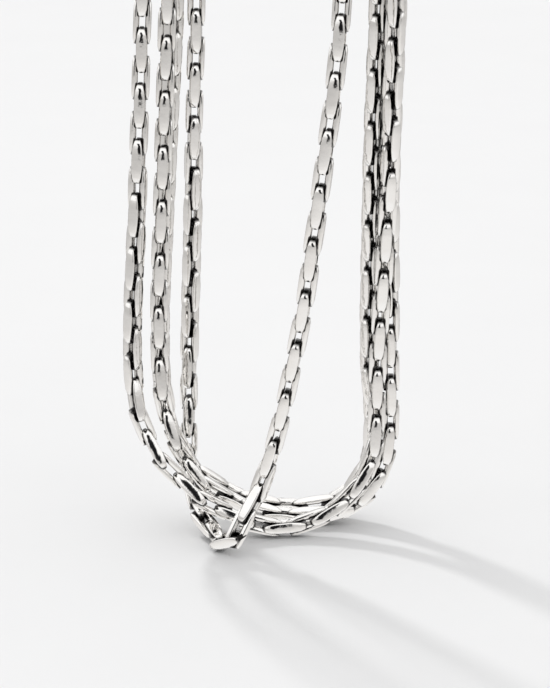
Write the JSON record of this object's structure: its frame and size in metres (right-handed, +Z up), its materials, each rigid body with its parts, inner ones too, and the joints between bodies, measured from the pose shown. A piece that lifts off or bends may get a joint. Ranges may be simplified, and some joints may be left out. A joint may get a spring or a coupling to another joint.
{
  "type": "layered necklace",
  "caption": "Layered necklace of four strands of one fine polished box-type chain, hanging from a plain arched fastening, with the strands' lowest bends at one level.",
  "frame": {"origin": "middle of the underside of the fastening's arch, where the necklace hangs", "axes": "+Z up, X across the loop, +Y from the front of the loop to its back"},
  "size_m": [0.0318, 0.0219, 0.1978],
  "materials": {
    "polished_silver": "bright polish with fine wear",
    "clasp_silver": "bright polish with fine brush marks"
  },
  "bodies": {
    "root": {"strand_a": "polished_silver", "strand_b": "polished_silver", "strand_c": "polished_silver", "strand_d": "polished_silver", "clasp": "clasp_silver"}
  },
  "joints": []
}
